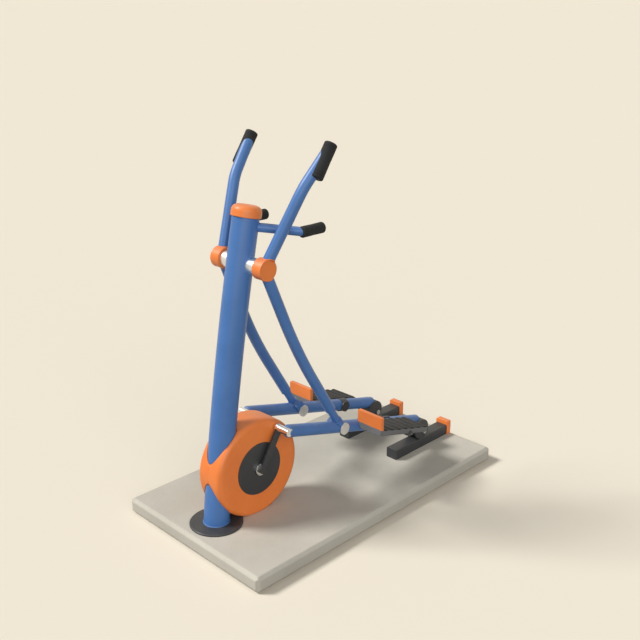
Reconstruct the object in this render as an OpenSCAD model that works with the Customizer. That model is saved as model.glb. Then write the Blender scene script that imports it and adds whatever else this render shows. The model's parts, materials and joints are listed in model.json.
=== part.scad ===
/* Outdoor air walker on its concrete base.
   X runs to the walker's right, Y from the post towards the user, Z up.
   The origin lies under the middle of the base. Lengths are in millimetres, angles in degrees.
   Pieces that come in pairs are drawn on the right and mirrored to the left. */

/* [Concrete base] */
// Width of the concrete base
slab_w = 880; // [820:10:1100]
// Length of the concrete base
slab_l = 1575; // [1570:5:1900]
// Thickness of the concrete base
slab_h = 73; // [70:1:120]
// Bevel along the edges of the base
slab_bevel = 14; // [6:1:15]

/* [Post] */
// Outer diameter of the post tube
post_d = 114; // [110:1:116]
// Wall of the post tube
post_wall = 4; // [3:0.5:8]
// Distance of the post foot in front of the middle of the base
post_reach = 638; // [634:1:642]
// Length of the post along its curve
post_len = 1357; // [1340:1:1400]
// Lean of the post at its foot
foot_lean = 6.4; // [6.2:0.1:6.6]
// Lean of the post at its top
top_lean = 12.2; // [12:0.1:12.4]
// Diameter of the foot flange
flange_d = 234; // [224:1:260]
// Thickness of the foot flange
flange_t = 9; // [8:0.5:14]
// Number of anchor bolts in the flange
anchor_count = 6; // [4:1:8]
// Diameter of an anchor bolt
anchor_d = 14; // [10:1:16]
// Diameter of the circle of anchor bolts
anchor_circle = 190; // [180:1:194]
// Depth of the anchors in the concrete
anchor_depth = 52; // [40:1:60]
// Diameter of the post cap
cap_d = 127; // [124:1:136]
// Height of the post cap
cap_h = 41; // [36:1:60]
// Depth of the socket in the post cap
cap_socket = 16; // [10:1:20]

/* [Drum housing] */
// Diameter of the drum housing
drum_d = 454; // [446:1:458]
// Width of the drum housing
drum_w = 144; // [140:1:146]
// Radius of the rounded rim of the housing
drum_edge = 24; // [15:1:28]
// Wall of the housing shells
drum_wall = 3; // [2.5:0.5:5]
// Distance of the crank axle in front of the middle of the base
axle_reach = 446.5; // [444:0.5:449]
// Height of the crank axle above the ground
axle_h = 290.4; // [288:0.2:293]
// Diameter of the black side covers
cover_d = 242; // [230:1:250]
// Thickness of the side covers
cover_t = 2.5; // [1.5:0.5:3]
// Diameter of the tie bolts of the housing
tie_d = 8; // [6:1:10]

/* [Cranks] */
// Diameter of the fixed crank axle
axle_d = 20; // [16:1:24]
// Outer diameter of the crank bearings
crank_bearing_d = 42; // [38:1:44]
// Width of one crank bearing
crank_bearing_w = 12; // [10:1:12]
// Diameter of the crank hub
crank_hub_d = 56; // [52:1:58]
// Crank length from axle to pin
crank_r = 195.4; // [193:0.2:198]
// Lean of the cranks from upright at rest
crank_lean = 31.6; // [31:0.2:32.2]
// Width of the crank arm
crank_w = 31; // [26:1:34]
// Thickness of the crank arm
crank_t = 12; // [10:1:13]
// Diameter of the crank pin
crank_pin_d = 36; // [34:1:40]

/* [Foot bars] */
// Distance of a foot bar from the middle plane at the crank pin
bar_x = 134; // [133.5:0.5:135]
// Diameter of a foot bar
bar_d = 57; // [54:1:57]
// Wall of the foot bar tube
bar_wall = 3; // [2:0.5:4]
// Downward slope of a foot bar towards the rear
bar_slope = 15.5; // [15.3:0.1:15.7]
// Outward turn of a foot bar towards the rear
bar_toe = 1.2; // [1:0.1:1.3]
// Length of a foot bar in front of the crank pin
bar_nose = 4; // [2:1:8]
// Length of a foot bar behind the crank pin
bar_tail = 921; // [916:1:922]
// Rounding of the foot bar ends
bar_edge = 18; // [14:1:22]
// Distance of the swing arm pin along the bar
mid_along = 345; // [343:1:347]
// Diameter of the pin that carries the swing arm
mid_pin_d = 24; // [20:1:26]
// Diameter of the polished heads of that pin
pin_head_d = 56; // [50:1:60]
// Thickness of those heads
pin_head_t = 6; // [4:0.5:6]

/* [Rear rollers and rails] */
// Radius of a roller
roller_r = 34; // [32:0.5:34.5]
// Distance of the rollers behind the middle of the base
roller_y = 555.4; // [554:0.2:557]
// Diameter of a roller axle
roller_axle_d = 16; // [12:1:20]
// Distance of the fork's inner face from the middle plane
fork_in = 119; // [118:0.5:120]
// Distance of the fork's outer face from the middle plane
fork_out = 194; // [192:0.5:196]
// Thickness of the fork cheeks
fork_t = 6; // [5:0.5:6]
// Radius of the fork cheeks
fork_r = 51.5; // [50:0.5:53]
// Distance of the fork's centre in front of the roller axle
fork_back = 21.8; // [21:0.2:23]
// Height of the fork's centre above the roller axle
fork_up = 17.5; // [17:0.5:19]
// Height of a rail
rail_h = 52.3; // [51:0.1:53]
// Width of a rail
rail_w = 64; // [60:1:66]
// Distance of the rails from the middle plane
rail_x = 161; // [158:1:164]
// Distance of the front end of a rail behind the middle of the base
rail_front = 342; // [334:1:345]
// Length of a rail
rail_len = 402; // [396:1:402]
// Wall of the rail section
rail_wall = 4; // [3:0.5:6]
// Width of a rear stop
stop_w = 73; // [70:1:80]
// Height of a rear stop
stop_h = 73; // [66:1:80]
// Thickness of a rear stop
stop_t = 27; // [22:1:27]

/* [Foot trays] */
// Width of a tray
tray_w = 145; // [130:1:150]
// Length of a tray
tray_len = 352; // [340:1:355]
// Depth of a tray
tray_t = 26; // [24:1:27]
// Distance of the tray's front edge along the foot bar
tray_along = 447; // [444:1:450]
// Thickness of the tray's top and sides
tray_wall = 4; // [3:0.5:5]
// Number of cross ribs on a tray
rib_count = 7; // [5:1:8]
// Width of a cross rib
rib_w = 24; // [16:1:28]
// Height of the ribs above the tray
rib_h = 3; // [2:0.5:4]
// Height of a toe guard's top above the ground
guard_top = 423; // [415:1:435]
// Thickness of a toe guard
guard_t = 16; // [14:1:18]
// Width of a toe guard
guard_w = 147; // [130:1:150]
// Diameter of the cross bar under a tray
cross_bar_d = 30; // [26:1:32]
// Distance of the cross bar along the foot bar
cross_bar_along = 668; // [640:1:690]

/* [Swing arms] */
// Diameter of a swing arm tube
arm_d = 48; // [47:0.5:48]
// Wall of a swing arm tube
arm_wall = 1.8; // [1.6:0.1:1.9]
// Distance of the hubs of the swing arms from the middle plane
arm_x = 130.5; // [130:0.5:131]
// Distance of the lower ends of the swing arms from the middle plane
shin_x = 146; // [144:0.5:146]
// Distance of the main pivot in front of the middle of the base
pivot_reach = 445.3; // [443:0.5:447]
// Height of the main pivot above the ground
pivot_h = 1206.8; // [1204:0.2:1210]
// Lean of the lower arm at the pivot
hip_lean = 22; // [21.8:0.1:22.2]
// Lean of the lower arm at its end
shin_lean = 31.5; // [31.4:0.1:31.6]
// Bend radius of the lower arm
shin_bend = 2100; // [1900:50:2200]
// Gap between the lower arm's end and the foot bar pin
shin_gap = 131; // [130:1:136]
// Diameter of the link rod that slides in the lower arm
rod_d = 37; // [34:0.5:37]
// Length of the link rod inside the arm at rest
rod_inside = 105; // [90:1:110]
// Diameter of an arm hub
hub_d = 90; // [86:1:96]
// Width of an arm hub
hub_w = 50; // [49:0.5:51]
// Wall that closes the outer end of a hub
hub_end = 5; // [3:0.5:6]
// Diameter of the pivot shaft
shaft_d = 30; // [26:1:32]
// Diameter of the polished sleeves on the shaft
sleeve_d = 72; // [64:1:76]
// Outer diameter of the hub bearings
hub_bearing_d = 62; // [58:1:66]
// Width of one hub bearing
hub_bearing_w = 16; // [12:1:17]
// Length of a moving grip
grip_len = 155; // [140:1:170]
// Diameter of a moving grip
grip_d = 55; // [53:1:60]

/* [Fixed handlebar] */
// Diameter of the fixed handlebar
fixed_d = 38; // [34:1:40]
// Wall of the fixed handlebar
fixed_wall = 2.5; // [2:0.5:4]
// Height of the fixed handlebar where it leaves the post
fixed_root_h = 1360; // [1355:1:1365]
// Height of the fixed grips
fixed_grip_h = 1337; // [1330:1:1345]
// Distance of the fixed grips from the middle plane
fixed_x = 174; // [170:1:176]
// Bend radius of the fixed handlebar
fixed_bend = 36; // [30:1:45]
// Distance of the fixed grips' rear ends in front of the middle of the base
fixed_rear = 159; // [150:1:165]
// Length of a fixed grip
fixed_grip_len = 122; // [112:1:126]
// Diameter of a fixed grip
fixed_grip_d = 47; // [44:1:50]

/* [Hidden] */

// Colours
blue = "#2f63b8";
orange = "#f0762a";
black = "#2b2c2e";
chrome = "#c9ccd0";
steel = "#8d9196";
concrete = "#b3a999";

// Fits, clearances and cuts
fit = 0.05;
gap = 0.5;
play = 1;
over = 1;
lap = 1;
draw = 0.05;
fine = 64;
arc_steps = 1800;
sunk_share = 1.9;

// Post: centre and radius of its curve, seen from the side
post_bow = post_len / ((top_lean - foot_lean) * PI / 180);
post_centre = [-post_reach, slab_h] + post_bow * [cos(foot_lean), -sin(foot_lean)];
post_top = post_centre + post_bow * [-cos(top_lean), sin(top_lean)];
flange_lip_share = 0.6;
anchor_hold = flange_t * 0.55;
cap_skirt_share = 0.48;
cap_brow_share = 0.86;
cap_brow_rise_share = 0.82;
cap_flat_share = 0.46;

// Main pivot and hubs
pivot = [0, -pivot_reach, pivot_h];
hub_in = arm_x - hub_w / 2;
hub_out = arm_x + hub_w / 2;
shaft_half = hub_out - hub_end - gap;
bearing_inset = 2 * play;

// Drum and cranks
axle = [0, -axle_reach, axle_h];
drum_half = drum_w / 2;
hub_hole_d = crank_hub_d + 2 * play;
crank_hub_in = 50;
crank_hub_stand = 14;
crank_hub_out = drum_half + crank_hub_stand;
crank_hub_end = 6;
crank_dir = [0, sin(crank_lean), cos(crank_lean)];
crank_pin = axle + crank_r * crank_dir;
crank_pin_in = crank_hub_out - crank_t / 2;
pin_split = bar_x - bar_d / 2 - 3 * gap;
carrier_d = 52;
carrier_half = 45;
carrier_w = 36;
tie_circle = 190;
tie_head_h = 2;

// Foot bars
bar_r = bar_d / 2;
bar_dir = [sin(bar_toe) * cos(bar_slope), cos(bar_toe) * cos(bar_slope), -sin(bar_slope)];
bar_end_t = 14;
bar_pin_depth = 56;
mid_pin = [bar_x, crank_pin.y, crank_pin.z] + mid_along * bar_dir;
bar_bore_h = bar_nose + bar_tail - 2 * bar_end_t;
fixed_bore = fixed_d - 2 * fixed_wall;
lug_t = 10;
lug_out = mid_pin.x - bar_r - 2 * play;
lug_in = lug_out - lug_t;

// Rollers and rails
rail_top = slab_h + rail_h;
rail_end = rail_front + rail_len;
roller_z = rail_top + roller_r;
roller_in = fork_in + fork_t + play;
roller_out = fork_out - fork_t - play;
roller_edge = 4;
roller_head_d = 26;
roller_head_t = 5;
fork_clear = 2;
rail_edge = 5;
stud_d = 10;
stud_inset = 60;
stud_rise = 20;
stud_pad = 40;
stud_pad_h = 24;
stop_edge = 6;

// Trays
tray_in = 16;
tray_top = 26;
cross_head_d = 54;
cross_head_t = 6;
tray_lug_d = 44;
tray_lug_t = 10;
rib_inset = 8;
guard_h = 90;
guard_edge = 5;
guard_bolt_d = 6;
guard_bolt_head_d = 11;
guard_bolt_head_h = 4;
guard_bolt_reach = 9;
guard_bolt_inset = 34;
guard_front = crank_pin.y + tray_along * bar_dir.y + tray_top * sin(bar_slope);
guard_middle = bar_x + tray_along * bar_dir.x + tray_in + tray_w - guard_w / 2;

// Lower arms: two straight runs joined by one wide bend
hip_dir = [0, sin(hip_lean), -cos(hip_lean)];
shin_dir = [0, sin(shin_lean), -cos(shin_lean)];
hub_mid = [arm_x, pivot.y, pivot.z];
ankle = [shin_x, mid_pin.y, mid_pin.z];
span = ankle - hub_mid;
lean_cross = hip_dir.y * shin_dir.z - hip_dir.z * shin_dir.y;
knee_reach = (span.y * shin_dir.z - span.z * shin_dir.y) / lean_cross;
knee = [shin_x, pivot.y, pivot.z] + hip_dir * knee_reach;
shin_end = ankle - shin_gap * shin_dir;
rod_end = ankle - (shin_gap + rod_inside) * shin_dir;
lug_w = 42;
web_w = 34;
foot_top = 52;
foot_low = 14;
foot_swing = 11.5;
foot_clear = 1.5;

// Upper arms: up from the hub, one bend, then slanting into the side of the grip
shoulder = [207, -301, 1522];
grip_foot = [236, -262, 1553];
grip_dir = [0, 0.554, 0.8325];
shoulder_bend = 300;
grip_start = 7;
grip_closed = 8;
grip_edge = 7;
arm_in_grip = 131;
arm_end = grip_foot + (grip_start + arm_in_grip) * grip_dir;
arm_tip_dir = (arm_end - shoulder) / norm(arm_end - shoulder);

// Fixed handlebar
fixed_root = [0, -432, fixed_root_h];
fixed_elbow = [fixed_x, -268, fixed_grip_h];
fixed_end = [fixed_x, -fixed_rear - grip_closed, fixed_grip_h];

// Round bar along X between two distances from the middle plane
module rod_x(x_from, x_to, d) {
    translate([x_from, 0, 0])
        rotate([0, 90, 0])
            cylinder(h = x_to - x_from, d = d, $fn = fine);
}

// Upright cylinder with rounded rims
module soft_cylinder(d, h, edge) {
    rotate_extrude($fn = fine)
        intersection() {
            union() {
                square([d / 2 - edge, h]);
                translate([0, edge]) square([d / 2, h - 2 * edge]);
                translate([d / 2 - edge, edge]) circle(r = edge, $fn = fine);
                translate([d / 2 - edge, h - edge]) circle(r = edge, $fn = fine);
            }
            square([d, h]);
        }
}

// Rectangle with rounded corners, about its centre
module soft_rectangle(w, h, edge) {
    square([w - 2 * edge, h], center = true);
    square([w, h - 2 * edge], center = true);
    for (sx = [-1, 1], sy = [-1, 1])
        translate([sx * (w / 2 - edge), sy * (h / 2 - edge)]) circle(r = edge, $fn = fine);
}

// Child drawn in the side view: its x becomes Y, its y becomes Z, its z becomes X
module side_view() {
    rotate([90, 0, 90]) children();
}

// Straight round bar between two points
module straight(a, b, d) {
    v = b - a;
    translate(a)
        rotate([0, atan2(norm([v.x, v.y]), v.z), atan2(v.y, v.x)])
            cylinder(h = norm(v), d = d, $fn = fine);
}

// Angle between two runs, and the length that a bend of that radius takes from each
function turn(a, b, c) = acos((b - a) * (c - b) / (norm(b - a) * norm(c - b)));
function trim(a, b, c, r) = r * tan(turn(a, b, c) / 2);
function towards(a, b, l) = a + (b - a) * l / norm(b - a);

// Round bend at b between the runs from a and to c
module bend(a, b, c, r, d) {
    t = turn(a, b, c);
    along = (b - a) / norm(b - a);
    ahead = (c - b) / norm(c - b);
    inward = (ahead - along * cos(t)) / sin(t);
    up = cross(-inward, along);
    centre = towards(b, a, trim(a, b, c, r)) + inward * r;
    multmatrix([
        [-inward.x, along.x, up.x, centre.x],
        [-inward.y, along.y, up.y, centre.y],
        [-inward.z, along.z, up.z, centre.z],
        [0, 0, 0, 1]
    ])
        rotate_extrude(angle = t, $fn = arc_steps)
            translate([r, 0]) circle(d = d, $fn = fine);
}

// Round bar along a row of points p, with one bend radius in r for each inner point.
// The bends are a little thinner than the straight runs, which reach a short way into them.
module bent_rod(p, r, d) {
    last = len(p) - 1;
    for (i = [0:last - 1]) {
        a = i == 0 ? p[0] : towards(p[i], p[i + 1], trim(p[i - 1], p[i], p[i + 1], r[i - 1]) - lap);
        b = i == last - 1 ? p[last] : towards(p[i + 1], p[i], trim(p[i], p[i + 1], p[i + 2], r[i]) - lap);
        straight(a, b, d + 2 * draw);
    }
    for (i = [1:last - 1])
        bend(p[i - 1], p[i], p[i + 1], r[i - 1], d);
}

// Solid form of the post tube along its curve
module post_form(d) {
    side_view()
        translate(post_centre)
            rotate([0, 0, 180 - top_lean])
                rotate_extrude(angle = top_lean - foot_lean, $fn = arc_steps)
                    translate([post_bow, 0]) circle(d = d, $fn = fine);
}

// Child placed in the frame of the right foot bar: Y along the bar, the crank pin at the origin
module at_bar() {
    translate([bar_x, crank_pin.y, crank_pin.z])
        rotate([-bar_slope, 0, -bar_toe])
            children();
}

// Child placed where the cross bar meets the foot bar, in the foot bar's frame
module at_cross_bar() {
    at_bar() translate([0, cross_bar_along, 0]) children();
}

// Solid form of the foot bar
module bar_form(d) {
    at_bar()
        translate([0, -bar_nose, 0])
            rotate([-90, 0, 0])
                soft_cylinder(d, bar_nose + bar_tail, bar_edge);
}

// Child placed on the axis of the roller
module at_roller() {
    translate([0, roller_y, roller_z]) children();
}

// Child placed on the axis of the pin that carries the link rod
module at_mid_pin() {
    translate([0, mid_pin.y, mid_pin.z]) children();
}

// Outline of a block with bevelled corners, standing on its base line
function bevel_outline(w, h, c) = [
    [-w / 2 + c, 0], [w / 2 - c, 0], [w / 2, c], [w / 2, h - c],
    [w / 2 - c, h], [-w / 2 + c, h], [-w / 2, h - c], [-w / 2, c]
];

// Places of the anchor bolts around the post foot
module at_anchors() {
    for (i = [0:anchor_count - 1])
        translate([0, -post_reach, 0])
            rotate([0, 0, (i + 0.5) * 360 / anchor_count])
                translate([anchor_circle / 2, 0, 0])
                    children();
}

// Places of the studs under both rails and stops
module at_studs() {
    for (sx = [-1, 1], y = [rail_front + stud_inset, rail_end - stud_inset, rail_end + stop_t / 2])
        translate([sx * rail_x, y, slab_h - anchor_depth])
            children();
}

// Places of the tie bolts around the crank axle
module at_ties() {
    for (a = [45:90:315])
        translate(axle)
            rotate([a, 0, 0])
                translate([0, tie_circle / 2, 0])
                    children();
}

// Tie bolt across the drum with a countersunk head at each side, extra room around it
module tie_form(extra) {
    d = tie_d + 2 * extra;
    rod_x(-drum_half, drum_half, d);
    for (m = [0, 1])
        mirror([m, 0, 0])
            translate([drum_half - tie_head_h, 0, 0])
                rotate([0, 90, 0])
                    cylinder(h = tie_head_h, d1 = d, d2 = d * sunk_share, $fn = fine);
}

// Anchor bolt from the concrete up into the flange, extra room around it
module anchor_form(extra) {
    translate([0, 0, slab_h - anchor_depth])
        cylinder(h = anchor_depth + anchor_hold + extra, d = anchor_d + 2 * extra, $fn = fine);
}

module concrete_base() {
    color(concrete)
        difference() {
            intersection() {
                translate([0, -slab_l / 2, 0])
                    linear_extrude(slab_h) polygon(bevel_outline(slab_w, slab_l, slab_bevel));
                translate([0, slab_l / 2, 0])
                    rotate([90, 0, 0])
                        linear_extrude(slab_l) polygon(bevel_outline(slab_w, slab_h, slab_bevel));
                translate([-slab_w / 2, 0, 0])
                    side_view()
                        linear_extrude(slab_w) polygon(bevel_outline(slab_l, slab_h, slab_bevel));
            }
            at_anchors()
                translate([0, 0, slab_h - anchor_depth])
                    cylinder(h = anchor_depth + over, d = anchor_d + 2 * fit, $fn = fine);
            at_studs()
                cylinder(h = anchor_depth + over, d = stud_d + 2 * fit, $fn = fine);
        }
}

module base_flange() {
    lip = flange_t * flange_lip_share;
    r = flange_d / 2;
    color(black)
        difference() {
            translate([0, -post_reach, slab_h])
                rotate_extrude($fn = fine)
                    polygon([[0, 0], [r, 0], [r, lip], [r - flange_t + lip, flange_t], [0, flange_t]]);
            at_anchors() anchor_form(fit);
        }
}

module anchor_bolts() {
    color(black) at_anchors() anchor_form(0);
}

// The post, with the carrier of the crank axle welded to its rear
module post() {
    color(blue)
        difference() {
            union() {
                difference() {
                    post_form(post_d);
                    post_form(post_d - 2 * post_wall);
                }
                difference() {
                    translate(axle) {
                        rod_x(-carrier_half, carrier_half, carrier_d);
                        translate([-carrier_w / 2, axle_reach - post_reach, -carrier_d / 2])
                            cube([carrier_w, post_reach - axle_reach, carrier_d]);
                    }
                    post_form(post_d - post_wall);
                }
            }
            translate([-post_d, -post_reach - post_d, 0])
                cube([2 * post_d, 2 * post_d, slab_h + flange_t]);
            translate(pivot) rod_x(-post_d, post_d, shaft_d + 2 * fit);
            translate(axle) rod_x(-post_d, post_d, axle_d + 2 * fit);
        }
}

module post_cap() {
    r = cap_d / 2;
    color(orange)
        translate([0, post_top.x, post_top.y])
            rotate([-top_lean, 0, 0])
                translate([0, 0, -cap_socket])
                    difference() {
                        rotate_extrude($fn = fine)
                            polygon([
                                [0, 0], [r, 0], [r, cap_h * cap_skirt_share],
                                [r * cap_brow_share, cap_h * cap_brow_rise_share],
                                [r * cap_flat_share, cap_h], [0, cap_h]
                            ]);
                        translate([0, 0, -over])
                            cylinder(h = cap_socket + over, d = post_d + 2 * gap, $fn = fine);
                    }
}

module pivot_shaft() {
    color(steel) translate(pivot) rod_x(-shaft_half, shaft_half, shaft_d);
}

// Polished sleeves that keep the hubs clear of the post
module shaft_sleeves() {
    color(chrome)
        for (m = [0, 1])
            mirror([m, 0, 0])
                difference() {
                    translate(pivot) rod_x(post_d / 4, hub_in - gap, sleeve_d);
                    post_form(post_d + 2 * fit);
                    translate(pivot) rod_x(0, hub_in, shaft_d + 2 * fit);
                }
}

// Two bearings in each hub
module hub_bearings() {
    color(steel)
        for (m = [0, 1], x = [hub_in + bearing_inset, shaft_half - bearing_inset - hub_bearing_w])
            mirror([m, 0, 0])
                translate(pivot)
                    difference() {
                        rod_x(x, x + hub_bearing_w, hub_bearing_d);
                        rod_x(x - over, x + hub_bearing_w + over, shaft_d + 2 * fit);
                    }
}

module crank_axle() {
    half = crank_hub_out - crank_hub_end - gap;
    color(steel) translate(axle) rod_x(-half, half, axle_d);
}

// Two bearings in each crank hub
module crank_bearings() {
    color(steel)
        for (m = [0, 1], x = [crank_hub_in + play, crank_hub_in + crank_bearing_w + 2 * play])
            mirror([m, 0, 0])
                translate(axle)
                    difference() {
                        rod_x(x, x + crank_bearing_w, crank_bearing_d);
                        rod_x(x - over, x + crank_bearing_w + over, axle_d + 2 * fit);
                    }
}

module housing_bolts() {
    color(steel) at_ties() tie_form(0);
}

// Studs that hold the rails and the rear stops on the base
module rail_anchors() {
    color(steel)
        at_studs()
            cylinder(h = anchor_depth + stud_rise, d = stud_d, $fn = fine);
}

// One half of the drum, open where the post passes through it and just above the base
module right_housing() {
    color(orange)
        difference() {
            translate([-drum_half, axle.y, axle.z])
                rotate([0, 90, 0])
                    soft_cylinder(drum_d, drum_w, drum_edge);
            translate([-drum_half + drum_wall, axle.y, axle.z])
                rotate([0, 90, 0])
                    soft_cylinder(drum_d - 2 * drum_wall, drum_w - 2 * drum_wall, drum_edge - drum_wall);
            translate([-drum_w, axle.y - drum_d, axle.z - drum_d])
                cube([drum_w, 2 * drum_d, 2 * drum_d]);
            translate(axle) rod_x(0, drum_w, hub_hole_d);
            post_form(post_d + 2 * play);
            translate([-drum_w, axle.y - drum_d, 0])
                cube([2 * drum_w, 2 * drum_d, slab_h + play]);
            translate([0, -post_reach, 0])
                cylinder(h = slab_h + flange_t + play, d = flange_d + 2 * play, $fn = fine);
            at_ties() tie_form(fit);
        }
}

module right_side_cover() {
    color(black)
        difference() {
            translate(axle) rod_x(drum_half, drum_half + cover_t, cover_d);
            translate(axle) rod_x(0, drum_w, hub_hole_d);
        }
}

module right_crank_hub() {
    color(chrome)
        difference() {
            translate(axle) rod_x(crank_hub_in, crank_hub_out, crank_hub_d);
            translate(axle) rod_x(0, crank_hub_out - crank_hub_end, crank_bearing_d + 2 * fit);
        }
}

module right_crank_arm() {
    color(black)
        difference() {
            translate(axle) {
                rod_x(crank_hub_out, crank_hub_out + crank_t, crank_w + 2 * lap);
                rotate([-crank_lean, 0, 0])
                    translate([crank_hub_out + draw, -crank_w / 2, 0])
                        cube([crank_t - 2 * draw, crank_w, crank_r]);
            }
            translate(crank_pin) rod_x(0, drum_w, crank_pin_d + 2 * fit);
        }
}

module right_crank_pin() {
    color(chrome) translate(crank_pin) rod_x(crank_pin_in, pin_split - gap, crank_pin_d);
}

module right_foot_bar() {
    color(blue)
        difference() {
            bar_form(bar_d);
            at_bar()
                translate([0, bar_end_t - bar_nose, 0])
                    rotate([-90, 0, 0])
                        cylinder(h = bar_bore_h, d = bar_d - 2 * bar_wall, $fn = fine);
            translate(crank_pin) rod_x(pin_split, pin_split + bar_pin_depth + fit, crank_pin_d + 2 * fit);
            at_mid_pin() rod_x(0, 2 * bar_x, mid_pin_d + 2 * fit);
            at_cross_bar() rod_x(-bar_d, bar_d, cross_bar_d + 2 * fit);
        }
}

// Stub on the foot bar that meets the crank pin
module right_bar_pin() {
    color(chrome) translate(crank_pin) rod_x(pin_split, pin_split + bar_pin_depth, crank_pin_d);
}

// Pin through the foot bar that carries the link rod, with a polished head at each end
module right_mid_pin() {
    seat = mid_pin.x + bar_r + play;
    color(chrome)
        at_mid_pin() {
            rod_x(lug_in - gap - pin_head_t, lug_in - gap, pin_head_d);
            rod_x(lug_in - gap, seat, mid_pin_d);
            rod_x(seat, seat + pin_head_t, pin_head_d);
        }
}

// Fork under the rear end of the foot bar, open below for the roller
module right_roller_fork() {
    color(black)
        difference() {
            at_roller()
                translate([0, -fork_back, fork_up])
                    rod_x(fork_in, fork_out, 2 * fork_r);
            at_roller() rod_x(fork_in + fork_t, fork_out - fork_t, 2 * (roller_r + fork_clear));
            at_roller()
                translate([fork_in + fork_t, -2 * fork_r, -2 * fork_r])
                    cube([fork_out - fork_in - 2 * fork_t, 4 * fork_r, 2 * fork_r]);
            translate([0, roller_y - 2 * fork_r, 0])
                cube([2 * fork_out, 4 * fork_r, rail_top + fork_clear]);
            at_roller() rod_x(0, 2 * fork_out, roller_axle_d + 2 * fit);
            at_bar()
                rotate([-90, 0, 0])
                    cylinder(h = bar_tail + fit, d = bar_d + 2 * fit, $fn = fine);
        }
}

module right_roller_axle() {
    color(steel)
        at_roller() {
            rod_x(fork_in - roller_head_t, fork_in, roller_head_d);
            rod_x(fork_in, fork_out, roller_axle_d);
            rod_x(fork_out, fork_out + roller_head_t, roller_head_d);
        }
}

module right_roller() {
    color(black)
        difference() {
            translate([roller_in, roller_y, roller_z])
                rotate([0, 90, 0])
                    soft_cylinder(2 * roller_r, roller_out - roller_in, roller_edge);
            at_roller() rod_x(0, 2 * fork_out, roller_axle_d + 2 * fit);
        }
}

// Cross bar through the foot bar that carries the tray
module right_cross_bar() {
    color(black)
        at_cross_bar() {
            rod_x(-bar_r - cross_head_t, -bar_r, cross_head_d);
            rod_x(-bar_r, tray_in + tray_w, cross_bar_d);
        }
}

// Tray with a ribbed top, open below, with two lugs on the cross bar
module right_tray() {
    hollow_in = bar_r + play + tray_wall;
    hollow_w = tray_in + tray_w - tray_wall - hollow_in;
    rib_start = tray_along + guard_t + rib_inset;
    rib_step = (tray_along + tray_len - rib_inset - rib_w - rib_start) / (rib_count - 1);
    color(black)
        difference() {
            at_bar() {
                difference() {
                    translate([tray_in, tray_along, tray_top - tray_t])
                        cube([tray_w, tray_len, tray_t]);
                    translate([hollow_in, tray_along + tray_wall, tray_top - tray_t - over])
                        cube([hollow_w, tray_len - 2 * tray_wall, tray_t - tray_wall + over]);
                }
                for (x = [bar_r + play, tray_in + tray_w - tray_lug_t])
                    translate([0, cross_bar_along, 0])
                        difference() {
                            rod_x(x, x + tray_lug_t, tray_lug_d);
                            translate([0, -tray_lug_d, tray_top - tray_wall / 2])
                                cube([tray_w + bar_d, 2 * tray_lug_d, tray_lug_d]);
                        }
                for (i = [0:rib_count - 1])
                    translate([tray_in + rib_inset, rib_start + i * rib_step, tray_top - rib_h])
                        cube([tray_w - 2 * rib_inset, rib_w, 2 * rib_h]);
            }
            bar_form(bar_d + 2 * play);
            at_cross_bar() rod_x(0, tray_w + bar_d, cross_bar_d + 2 * fit);
            at_guard_bolts() guard_bolt_form(fit);
        }
}

module right_toe_guard() {
    color(orange)
        difference() {
            translate([guard_middle, guard_front + guard_t, guard_top - guard_h / 2])
                rotate([90, 0, 0])
                    linear_extrude(guard_t) soft_rectangle(guard_w, guard_h, guard_edge);
            at_bar()
                translate([-bar_d, tray_along - tray_len, tray_top - tray_len])
                    cube([2 * tray_w, 2 * tray_len, tray_len]);
            bar_form(bar_d + 2 * play);
            at_guard_bolts() guard_bolt_form(fit);
        }
}

// Places of the two bolts that hold a toe guard, under the tray's top
module at_guard_bolts() {
    at_bar()
        for (x = [bar_r + guard_bolt_inset, tray_in + tray_w - guard_bolt_inset])
            translate([x, tray_along + tray_wall + guard_bolt_head_d / 2 + gap, tray_top - tray_wall])
                children();
}

// Bolt of a toe guard, extra room around it
module guard_bolt_form(extra) {
    translate([0, 0, -guard_bolt_head_h])
        cylinder(h = guard_bolt_head_h, d = guard_bolt_head_d + 2 * extra, $fn = fine);
    cylinder(h = tray_wall + guard_bolt_reach + extra, d = guard_bolt_d + 2 * extra, $fn = fine);
}

module right_guard_bolts() {
    color(steel) at_guard_bolts() guard_bolt_form(0);
}

// Rod that slides in the lower arm, with a lug beside the foot bar
module right_link_rod() {
    color(blue)
        difference() {
            union() {
                straight(ankle - foot_low * shin_dir, ankle - foot_top * shin_dir, arm_d);
                straight(ankle - (foot_low + lap) * shin_dir, rod_end, rod_d);
                at_mid_pin() rod_x(lug_in, lug_out, arm_d);
                at_mid_pin()
                    rotate([shin_lean, 0, 0]) {
                        translate([lug_in + draw, -lug_w / 2, 0])
                            cube([lug_t - 2 * draw, lug_w, foot_top - lap]);
                        translate([lug_in + lap, -web_w / 2, foot_low + lap])
                            cube([shin_x - lug_in, web_w, foot_top - foot_low - 3 * lap]);
                    }
            }
            for (a = [-bar_slope, foot_swing - bar_slope])
                translate(mid_pin)
                    rotate([a, 0, -bar_toe])
                        rotate([90, 0, 0])
                            cylinder(h = 2 * shin_gap, r = bar_r + foot_clear, center = true, $fn = fine);
            at_mid_pin() rod_x(0, drum_w, mid_pin_d + 2 * fit);
        }
}

module right_lower_arm() {
    color(blue)
        difference() {
            bent_rod([hub_mid, knee, shin_end], [shin_bend], arm_d);
            bent_rod([hub_mid, knee, shin_end + over * shin_dir], [shin_bend], arm_d - 2 * arm_wall);
            translate(pivot) rod_x(0, 2 * arm_x, hub_d + 2 * fit);
        }
}

// Solid form of the upper arm up to a given tip
module upper_arm_form(d, tip) {
    bent_rod([hub_mid, shoulder, tip], [shoulder_bend], d);
}

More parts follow.
